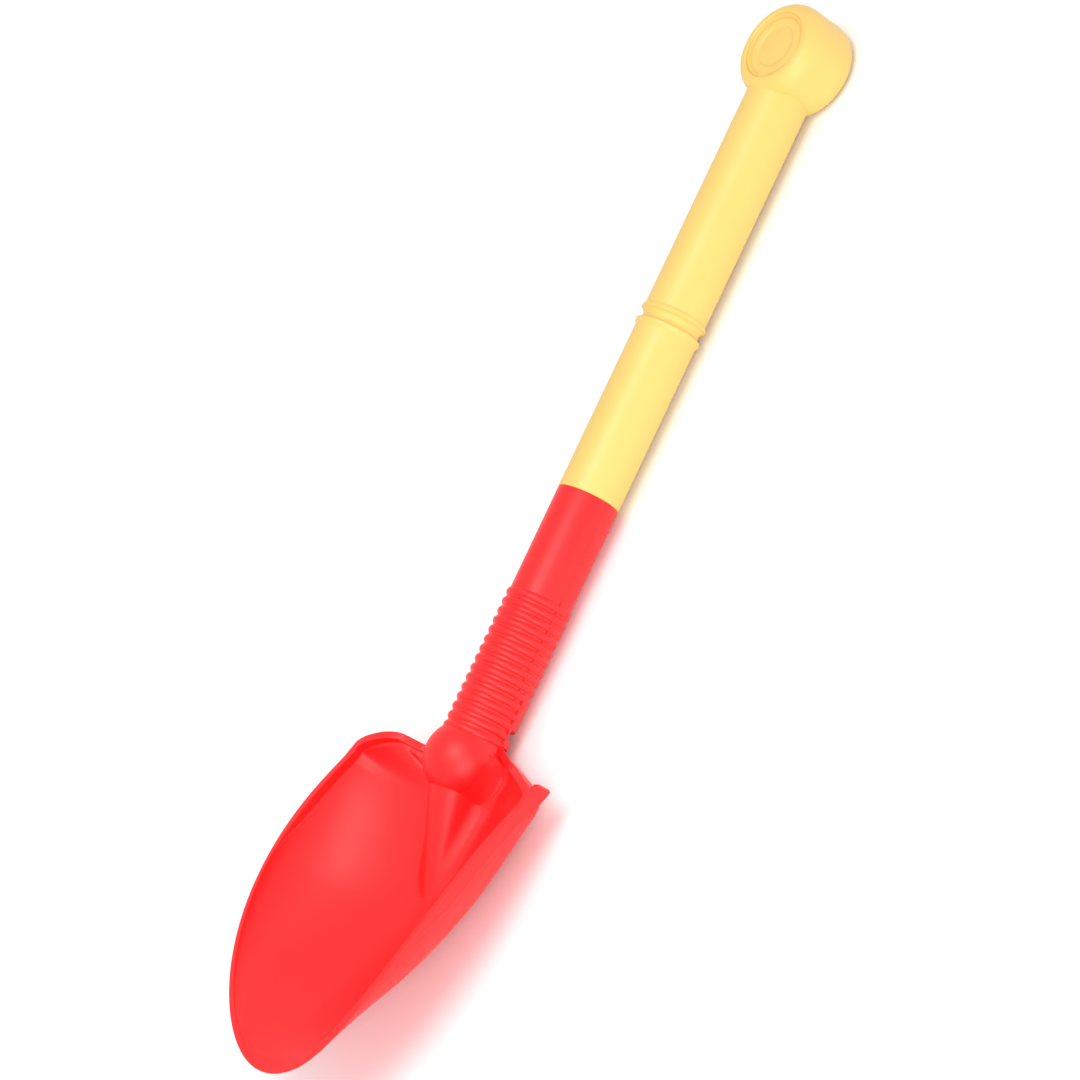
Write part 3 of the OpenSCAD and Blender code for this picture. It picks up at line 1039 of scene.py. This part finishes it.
    def lip_end(self, side: int) -> bpy.types.Object:
        """The square rear end of a side lip, which bends in and down behind the corner.

        Args:
            side: 1 for the right and -1 for the left.

        Returns:
            The end as a closed form.
        """
        rings = []
        path = through(np.array(self.lip_end_path), self.end_steps)
        for k, (y, w, u, lean, high) in enumerate(path):
            shrink = self.end_shrink * max(0.0, 1 - k / 2)
            half_w, half_h = self.lip_wall / 2 - self.end_inset - shrink, high / 2 - shrink
            ring: list[Row] = []
            for sx, su, turn in ((1, 1, 0), (-1, 1, 90), (-1, -1, 180), (1, -1, 270)):
                spot = (sx * (half_w - self.end_round), su * (half_h - self.end_round))
                ring += arc(spot, self.end_round, turn, turn + 90, 5)
            x0 = side * (w + lean / 2 - self.lip_wall / 2 + self.end_inset)
            u0 = u - high / 2
            rings.append([(x0 + a - side * lean * b / high, y, u0 + b) for a, b in ring])
        return loft("lip_end", self.place.points(np.array(rings)), (True, True))

    def seam(self) -> bpy.types.Object:
        """The fine line that the mould's two halves leave on the socket's sides.

        Returns:
            The line on both sides, as one thin closed form through the socket.
        """
        valley = self.rib_crest_r - self.seam_drop
        stations = [(self.socket_r, y) for y in self.seam_plain_run]
        stations += [(valley, y) for y in self.seam_rib_run]
        rings = []
        for reach, y in stations:
            x = reach + self.seam_h
            flat = self.seam_half_w
            ring = [(x, 0.0), (x - self.seam_h, flat), (0.0, flat), (self.seam_h - x, flat), (-x, 0.0)]
            ring += [(self.seam_h - x, -flat), (0.0, -flat), (x - self.seam_h, -flat)]
            rings.append([(a, y, b) for a, b in ring])
        return loft("seam", self.place.points(np.array(rings)), (True, True))

    def band(self) -> bpy.types.Object:
        """The smooth band on the back of the socket, with a ramp where it starts.

        Returns:
            The band as a closed form.
        """
        core = self.socket_r - 2 * OVERRUN
        ramp_end = self.band_y + self.band_ramp
        profile = [(core, self.band_y - self.band_foot), (self.socket_r - self.band_sink, self.band_y)]
        profile += [(self.band_r - self.band_edge, ramp_end), (self.band_r, ramp_end + self.band_foot)]
        profile += [(self.band_r, self.neck_y + OVERRUN), (core, self.neck_y + OVERRUN)]
        rings = []
        for a in np.radians(np.linspace(-self.band_start_deg, self.band_start_deg - 180, 91)):
            rings.append([(r * math.cos(a), s, r * math.sin(a)) for r, s in profile])
        return loft("back_band", self.place.points(np.array(rings)), (True, True))

    def ribs(self, maker: RibMaker) -> list[bpy.types.Object]:
        """The grip ribs: those that run all the way round, and those that stop at the band.

        Args:
            maker: Makes the ribs.

        Returns:
            The two rows of ribs.
        """
        sizes = {
            "Pitch": self.rib_pitch * MM,
            "Crest Radius": self.rib_crest_r * MM,
            "Round Radius": self.rib_round_r * MM,
            "Start Angle": math.radians(-self.band_start_deg),
            "Sweep Angle": math.radians(180 + 2 * self.band_start_deg),
        }
        full = {**sizes, "Count": self.full_rib_count, "All Round": True}
        part = {**sizes, "Count": self.rib_count - self.full_rib_count, "All Round": False}
        part_y = self.first_rib_y + self.rib_pitch * self.full_rib_count
        return [
            maker.build("full_ribs", self.first_rib_y, full, self.place),
            maker.build("part_ribs", part_y, part, self.place),
        ]

    def slot(self) -> bpy.types.Object:
        """The slot across the back of the socket, with its round bottom.

        Returns:
            The slot's form, closed, to be cut out.
        """
        reach = self.place.axis_h + OVERRUN
        ring = arc((self.slot_y, -self.slot_drop), self.slot_r, 0, 180, 24)
        ring += [(self.slot_y - self.slot_r, -2 * reach), (self.slot_y + self.slot_r, -2 * reach)]
        rings = [[(x, y, u) for y, u in ring] for x in (-reach, reach)]
        return loft("cross_slot", self.place.points(np.array(rings)), (True, True))

    def build(self, maker: RibMaker) -> bpy.types.Object:
        """The whole red moulding.

        Args:
            maker: Makes the grip ribs.

        Returns:
            The scoop as one closed form.
        """
        scoop = self.shell()
        scoop.name = "red_scoop"
        mouth = arc((self.socket_r - self.mouth_round, self.mouth_round), self.mouth_round, -90, 0, 4)
        end = self.socket_end_y
        tube = turned("socket", [(0, 0), *mouth, (self.socket_r, end), (0, end)], self.place, 120)
        # The ball is cut off inside the floor's wall, so it reaches no lower than the floor does
        low = self.wall / 2 - self.place.axis_h
        cut_deg = math.degrees(math.asin(low / self.ball_r))
        ball_profile = [(0, low), *arc((0, 0), self.ball_r, cut_deg, 90, 48)]
        ball = turned("ball", ball_profile, self.place, 120, self.ball_y)
        ends = [self.lip_end(side) for side in (-1, 1)]
        forms = [tube, ball, self.band()]
        join(scoop, [*forms, *self.ribs(maker), self.seam(), *ends], Joining.ADD)
        bore = [(0, -OVERRUN), (self.bore_r, -OVERRUN)]
        bore += [(self.bore_r, self.bore_depth), (0, self.bore_depth)]
        hollow_r = self.ball_r - self.wall
        under = -self.place.axis_h - 1
        dome = arc((0, self.ball_y), hollow_r, -90, 90, 32)
        cuts = [
            turned("bore", bore, self.place, 120),
            turned("ball_hollow", dome, self.place, 96),
            self.pillar(self.wall, under),
            self.ridge(self.wall, under),
            self.slot(),
        ]
        return join(scoop, cuts, Joining.CUT)


@dataclass
class Handle:
    """The yellow hollow moulding: spigot, tube with two bead rings, and drum knob."""

    place: Place
    tube_r: float = 14.0
    wall: float = 2.0
    spigot_r: float = 11.25
    spigot_l: float = 55.0
    snap_y: float = 40.0
    snap_h: float = 0.6
    snap_half: float = 1.05
    edge_round: float = 0.35
    beads_y: float = 83.3
    bead_pitch: float = 5.8
    bead_crest_r: float = 14.87
    bead_round_r: float = 3.4
    bead_groove_r: float = 13.0
    # Stations with few steps between them, stations with many, and how far the tube runs into the knob
    plain_run: Row = (40.0, 73.0)
    bead_run: Row = (73.5, 93.5)
    bead_steps: int = 161
    knob_reach: float = 10.0
    knob_y: float = 212.7
    knob_r: float = 22.7
    knob_side_half: float = 6.8
    knob_land_r: float = 16.6
    recess_r: float = 15.8
    recess_d: float = 1.6
    recess_round: float = 0.7
    ring_r: float = 11.9
    ring_half_w: float = 2.4
    ring_h: float = 0.8
    ring_power: float = 0.6
    button_r: float = 8.6
    button_h: float = 0.8

    def tube_profile(self) -> list[Row]:
        """Half profile of spigot and tube.

        Returns:
            Rows of radius and station, from the spigot's end to inside the knob.
        """
        y = np.concatenate([np.linspace(*self.plain_run, 4), np.linspace(*self.bead_run, self.bead_steps)])
        y = np.append(y, [self.bead_run[1] + OVERRUN, self.knob_y - self.knob_reach])
        r = np.full_like(y, self.tube_r)
        for side in (-0.5, 0.5):
            off = np.clip(np.abs(y - self.beads_y - side * self.bead_pitch), 0.0, self.bead_round_r)
            bead = self.bead_crest_r - self.bead_round_r + np.sqrt(self.bead_round_r**2 - off**2)
            r = np.maximum(r, bead)
        half = self.bead_pitch / 2
        off = np.clip(np.abs(y - self.beads_y), 0.0, half)
        groove = self.bead_groove_r + half - np.sqrt(half**2 - off**2)
        r = np.where(np.abs(y - self.beads_y) < half, np.minimum(r, groove), r)
        snap = [
            (self.spigot_r + self.snap_h * math.cos(math.radians(a)), self.snap_y - self.snap_half * a / 90)
            for a in range(-90, 91, 15)
        ]
        edge = arc((self.tube_r - self.edge_round, -self.edge_round), self.edge_round, 90, 0, 4)
        rows = [(0.0, self.spigot_l), (self.spigot_r - OVERRUN, self.spigot_l)]
        rows += [(self.spigot_r, self.spigot_l - 2 * OVERRUN), *snap, (self.spigot_r, 0.0)]
        rows += [(a, b) for a, b in edge]
        rows += [(float(a), -float(b)) for a, b in zip(r, y)]
        return rows + [(0.0, self.knob_reach - self.knob_y)]

    def knob_profile(self) -> list[Row]:
        """Half profile of the solid knob.

        Returns:
            Rows of radius and height, from the lower face to the upper one.
        """
        top = self.place.axis_h
        low = top - self.recess_d
        dome_r = (self.button_r**2 + self.button_h**2) / (2 * self.button_h)
        rows: list[Row] = []
        for r in np.linspace(0.0, self.button_r, 14):
            rows.append((float(r), low + self.button_h - dome_r + math.sqrt(dome_r**2 - r * r)))
        for t in np.linspace(-1.0, 1.0, 17):
            bulge = self.ring_h * (1 - t * t) ** self.ring_power
            rows.append((self.ring_r + self.ring_half_w * float(t), low + bulge))
        foot = (self.recess_r - self.recess_round, low + self.recess_round)
        rows += arc(foot, self.recess_round, -90, -10, 5)
        brow = (self.recess_r + self.recess_round, top - self.recess_round)
        rows += arc(brow, self.recess_round, 170, 90, 5)
        high = top - self.knob_side_half
        for a in np.radians(np.linspace(90.0, 0.0, 17)):
            out = self.knob_land_r + (self.knob_r - self.knob_land_r) * math.cos(a)
            rows.append((out, self.knob_side_half + high * math.sin(a)))
        return [(r, -z) for r, z in rows] + [(r, z) for r, z in rows[::-1]]

    def build(self) -> bpy.types.Object:
        """The whole yellow moulding, hollow from the spigot's end to inside the knob.

        Returns:
            The handle as one closed form.
        """
        handle = turned("yellow_handle", self.tube_profile(), self.place, 144)
        knob = turned("knob", self.knob_profile(), self.place, 160, -self.knob_y)
        join(handle, [knob], Joining.ADD)
        inner, end = self.tube_r - self.wall, self.knob_y - self.knob_r / 2
        spigot_in = self.spigot_r - self.wall
        open_y = self.spigot_l + OVERRUN
        hollow = [(0, open_y), (spigot_in, open_y), (spigot_in, -self.wall)]
        hollow += [(inner, -2 * self.wall), (inner, -end), (0, -end)]
        depth = self.place.axis_h - self.recess_d - self.wall
        land_r, side_r = self.knob_land_r - self.wall, self.knob_r - self.wall
        room = [(0, -depth), (land_r, -depth), (side_r, -self.knob_side_half)]
        room += [(side_r, self.knob_side_half), (land_r, depth), (0, depth)]
        bore = turned("bore", hollow, self.place, 96)
        cuts = [bore, turned("room", room, self.place, 96, -self.knob_y)]
        return join(handle, cuts, Joining.CUT)


@dataclass
class Studio:
    """Camera, soft light, white surroundings and floor."""

    place: Place
    # How the tube lies before the camera: its turn in the picture, its tilt and its roll
    turn_deg: float = 64.58
    tilt_deg: float = 10.1
    roll_deg: float = 53.0
    # The photograph's frame: its half size, the joint line's place off its middle, and the distance
    half_frame_px: float = 540.0
    joint_px: tuple[float, float] = (48.25, 40.83)
    distance_px: float = 6000.0
    mm_per_px: float = 0.4249
    sensor_mm: float = 36.0
    # Key light, along the camera's right, up and back directions, and fill light, along the frame's axes
    key_toward: tuple[float, float, float] = (-0.42, 0.42, 0.8)
    key_power: float = 11.0
    key_size: float = 0.8
    fill_toward: tuple[float, float, float] = (0.82, -0.42, 0.4)
    fill_power: float = 13.0
    fill_size: float = 1.2
    light_distance: float = 1.6
    world_strength: float = 0.78

    def axes(self) -> tuple[Vector, Vector, Vector]:
        """The camera's directions in the frame.

        Returns:
            Right, up and back.
        """
        turn, tilt, roll = (math.radians(v) for v in (self.turn_deg, self.tilt_deg, self.roll_deg))
        level = Vector((math.cos(turn), math.sin(turn), 0.0))
        out = Vector((0.0, 0.0, 1.0))
        side = Vector((math.sin(turn), -math.cos(turn), 0.0))
        along = math.cos(tilt) * level - math.sin(tilt) * out
        over = math.sin(tilt) * level + math.cos(tilt) * out
        across = math.cos(roll) * side + math.sin(roll) * over
        above = -math.sin(roll) * side + math.cos(roll) * over
        right, up, back = (Vector((across[k], along[k], above[k])) for k in range(3))
        return right, up, back

    def camera(self) -> None:
        """Sets the camera where the photograph was taken from."""
        right, up, back = self.axes()
        px = self.mm_per_px * MM
        target = Vector((0.0, self.place.joint_y * MM, self.place.axis_h * MM))
        spot = target - right * self.joint_px[0] * px - up * self.joint_px[1] * px
        spot += back * self.distance_px * px
        data = bpy.data.cameras.new("camera")
        data.sensor_width = self.sensor_mm
        data.lens = self.sensor_mm / 2 * self.distance_px / self.half_frame_px
        data.clip_end = 20.0
        camera = bpy.data.objects.new("camera", data)
        camera.matrix_world = Matrix.Translation(spot) @ Matrix((right, up, back)).transposed().to_4x4()
        bpy.context.scene.collection.objects.link(camera)
        bpy.context.scene.camera = camera

    def floor(self) -> None:
        """A wide pale floor just under the shovel."""
        bm = bmesh.new()
        bmesh.ops.create_grid(bm, x_segments=1, y_segments=1, size=4.0)
        mesh = bpy.data.meshes.new("floor")
        bm.to_mesh(mesh)
        bm.free()
        floor = bpy.data.objects.new("floor", mesh)
        floor.location.z = -OVERRUN * MM
        material = bpy.data.materials.new("white_paper")
        material.use_nodes = True
        tree = material.node_tree
        tree.nodes.clear()
        shader = add_node(
            tree, "ShaderNodeBsdfPrincipled", {}, {"Base Color": linear("FAFAFA"), "Roughness": 0.9}
        )
        add_node(tree, "ShaderNodeOutputMaterial", {}, {"Surface": shader.outputs["BSDF"]})
        mesh.materials.append(material)
        bpy.context.scene.collection.objects.link(floor)

    def softbox(self, name: str, toward: Vector, power: float, size: float) -> None:
        """One large soft light that faces the shovel.

        Args:
            name: Name of the light.
            toward: Direction from the shovel to the light.
            power: Its power in watts.
            size: Length of its sides in metres.
        """
        data = bpy.data.lights.new(name, "AREA")
        data.energy = power
        data.size = size
        lamp = bpy.data.objects.new(name, data)
        spot = toward.normalized() * self.light_distance
        turn = toward.to_track_quat("Z", "Y").to_matrix().to_4x4()
        lamp.matrix_world = Matrix.Translation(spot) @ turn
        bpy.context.scene.collection.objects.link(lamp)

    def light(self) -> None:
        """White surroundings, a key light at the camera's upper left and a low fill from the side."""
        world = bpy.data.worlds.new("surroundings")
        world.use_nodes = True
        world.node_tree.nodes["Background"].inputs["Color"].default_value = (1.0, 1.0, 1.0, 1.0)
        world.node_tree.nodes["Background"].inputs["Strength"].default_value = self.world_strength
        bpy.context.scene.world = world
        right, up, back = self.axes()
        a, b, c = self.key_toward
        self.softbox("key", a * right + b * up + c * back, self.key_power, self.key_size)
        self.softbox("fill", Vector(self.fill_toward), self.fill_power, self.fill_size)

    def build(self) -> None:
        """Sets up the whole studio."""
        self.camera()
        self.floor()
        self.light()
        bpy.context.scene.view_settings.view_transform = "Standard"


def main() -> None:
    """Builds the shovel around the frame, dresses it, and sets light and camera."""
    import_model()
    joint_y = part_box("handle")[1][1] / MM - Handle.knob_y - Handle.knob_r
    place = Place(joint_y=joint_y, axis_h=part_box("handle")[1][2] / MM / 2)
    Studio(place).build()
    red, yellow = RED_POLYPROPYLENE.build(), YELLOW_POLYETHYLENE.build()
    dress(Scoop(place).build(RibMaker(red)), red, "scoop")
    dress(Handle(place).build(), yellow, "handle")


if __name__ == "__main__":
    main()
